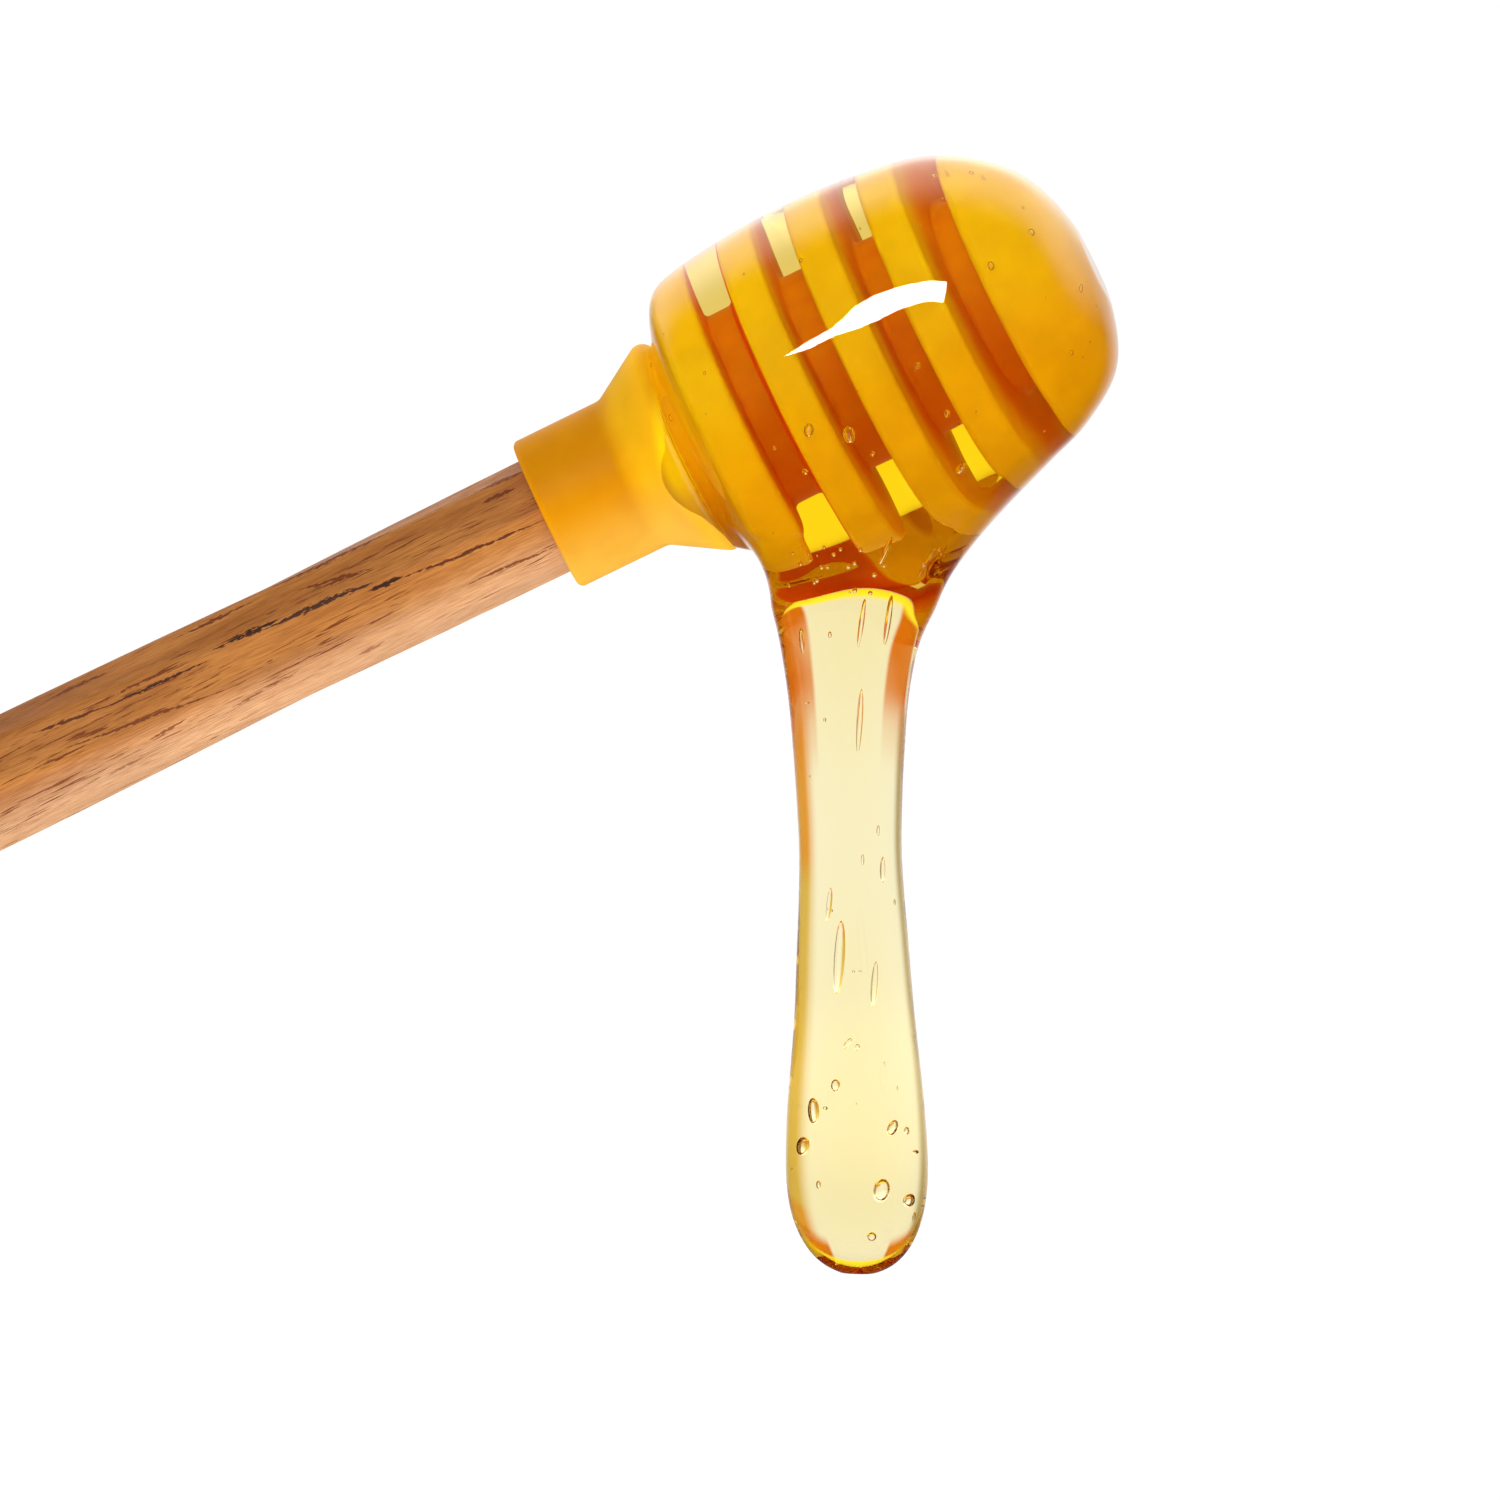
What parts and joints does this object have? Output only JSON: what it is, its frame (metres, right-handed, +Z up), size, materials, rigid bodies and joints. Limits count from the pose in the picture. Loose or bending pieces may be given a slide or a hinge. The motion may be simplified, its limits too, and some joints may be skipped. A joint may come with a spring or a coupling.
{
  "type": "honey dipper",
  "caption": "Honey dipper with a ringed silicone head pushed on a faceted wooden handle, coated in honey with one strand hanging down.",
  "frame": {"origin": "on the handle's axis at the middle of the hand's grip, 65 mm back from the collar's mouth", "axes": "+Z up with the dipper held as in use: its axis lies in the XZ plane and rises 25.8 degrees above +X towards the head, and the honey strand hangs along -Z"},
  "size_m": [0.1555, 0.0368, 0.1109],
  "materials": {
    "wood": "oiled open-grain hardwood with dark pores, worn arrises",
    "silicone": "satin moulded silicone",
    "honey": "clear wet amber liquid"
  },
  "bodies": {
    "handle": {"handle": "wood"},
    "head": {"dipper_head": "silicone", "honey_coat": "honey", "honey_drip": "honey"}
  },
  "joints": [
    {"name": "head_pull", "type": "slide", "parent": "handle", "child": "head", "axis": [0.9003, 0, 0.4352], "range_m": [0, 0.045]}
  ]
}
